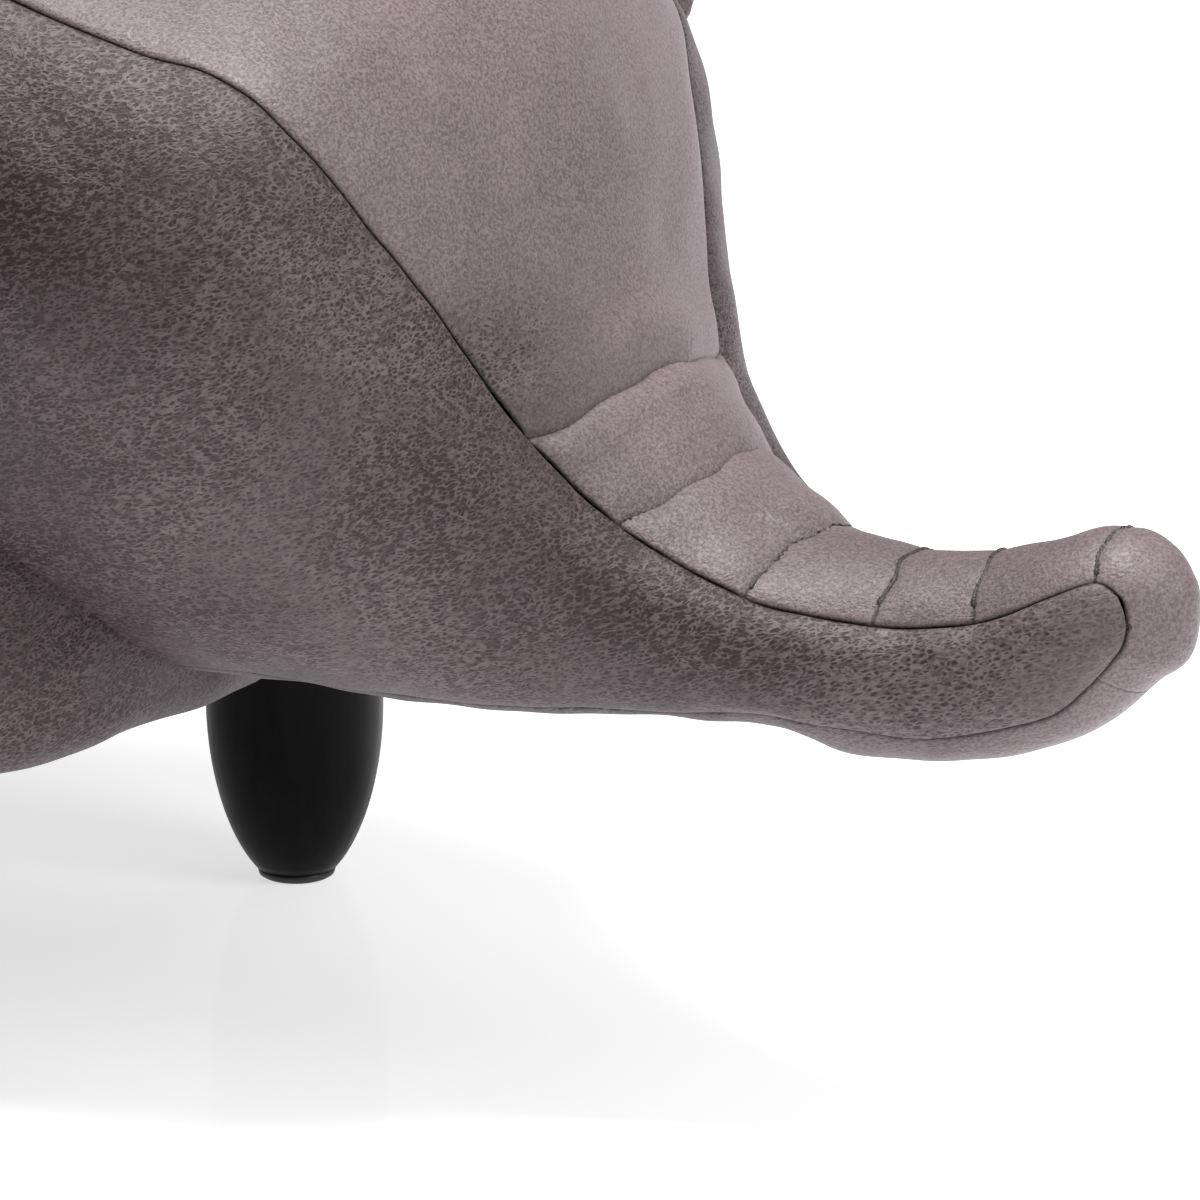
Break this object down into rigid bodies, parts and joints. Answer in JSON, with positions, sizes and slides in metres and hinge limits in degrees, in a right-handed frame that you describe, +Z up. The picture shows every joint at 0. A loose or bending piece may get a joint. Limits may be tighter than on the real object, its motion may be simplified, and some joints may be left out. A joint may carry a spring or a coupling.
{
  "type": "elephant footstool",
  "caption": "Upholstered elephant-shaped footstool with a padded seat, raised trunk, spread ears, a tail and turned black legs.",
  "frame": {"origin": "on the floor under the middle of the overall length and width", "axes": "+X towards the trunk tip, +Y to the elephant's left, +Z up"},
  "size_m": [0.7297, 0.5298, 0.381],
  "materials": {
    "grey_leather": "distressed grey-mauve artificial leather, fine crackle, low sheen",
    "black_lacquer": "turned wood, satin black lacquer",
    "black_plastic": "moulded black floor glide",
    "plywood": "raw plywood",
    "zinc_steel": "zinc-plated steel",
    "foam": "polyurethane foam",
    "polyester_filling": "white polyester fibre",
    "eye_plastic": "glossy black moulded plastic",
    "dust_cloth": "black non-woven cloth",
    "tuft_yarn": "dark grey yarn"
  },
  "bodies": {
    "stool": {"base_board": "plywood", "front_rib": "plywood", "rear_rib": "plywood", "side_rail_left": "plywood", "side_rail_right": "plywood", "seat_board": "plywood", "head_board": "plywood", "frame_screws": "zinc_steel", "leg_front_left": "black_lacquer", "leg_front_right": "black_lacquer", "leg_rear_left": "black_lacquer", "leg_rear_right": "black_lacquer", "glide_front_left": "black_plastic", "glide_front_right": "black_plastic", "glide_rear_left": "black_plastic", "glide_rear_right": "black_plastic", "hanger_bolts": "zinc_steel", "tee_nuts": "zinc_steel", "chest_foam": "foam", "side_foam_left": "foam", "side_foam_right": "foam", "rump_foam": "foam", "seat_foam": "foam", "head_filling": "polyester_filling", "trunk_filling": "polyester_filling", "side_cover_left": "grey_leather", "side_cover_right": "grey_leather", "seat_cover": "grey_leather", "head_panel_left": "grey_leather", "head_panel_right": "grey_leather", "forehead_panel": "grey_leather", "chin_panel": "grey_leather", "eye_left": "eye_plastic", "eye_right": "eye_plastic", "eye_washer_left": "zinc_steel", "eye_washer_right": "zinc_steel", "dust_cover": "dust_cloth", "dust_cover_staples": "zinc_steel"},
    "ear_left": {"ear_left_front": "grey_leather", "ear_left_back": "grey_leather", "ear_left_wadding": "polyester_filling"},
    "ear_right": {"ear_right_front": "grey_leather", "ear_right_back": "grey_leather", "ear_right_wadding": "polyester_filling"},
    "tail_root": {"tail_tab": "grey_leather"},
    "tail": {"tail_cord": "grey_leather", "tail_tuft": "tuft_yarn"}
  },
  "joints": [
    {"name": "ear_left_fold", "type": "hinge", "parent": "stool", "child": "ear_left", "pos_m": [0.004, 0.154, 0.286], "axis": [-0.3368, -0.1736, 0.9254], "range_deg": [-15, 30], "stiffness_Nm_per_rad": 0.6},
    {"name": "ear_right_fold", "type": "hinge", "parent": "stool", "child": "ear_right", "pos_m": [0.004, -0.154, 0.286], "axis": [0.3368, -0.1736, -0.9254], "range_deg": [-15, 30], "stiffness_Nm_per_rad": 0.6},
    {"name": "tail_swing", "type": "hinge", "parent": "stool", "child": "tail_root", "pos_m": [-0.35, 0, 0.3], "axis": [1, 0, 0], "range_deg": [-40, 40]},
    {"name": "tail_lift", "type": "hinge", "parent": "tail_root", "child": "tail", "pos_m": [-0.358, 0, 0.3], "axis": [0, 1, 0], "range_deg": [0, 80]}
  ]
}
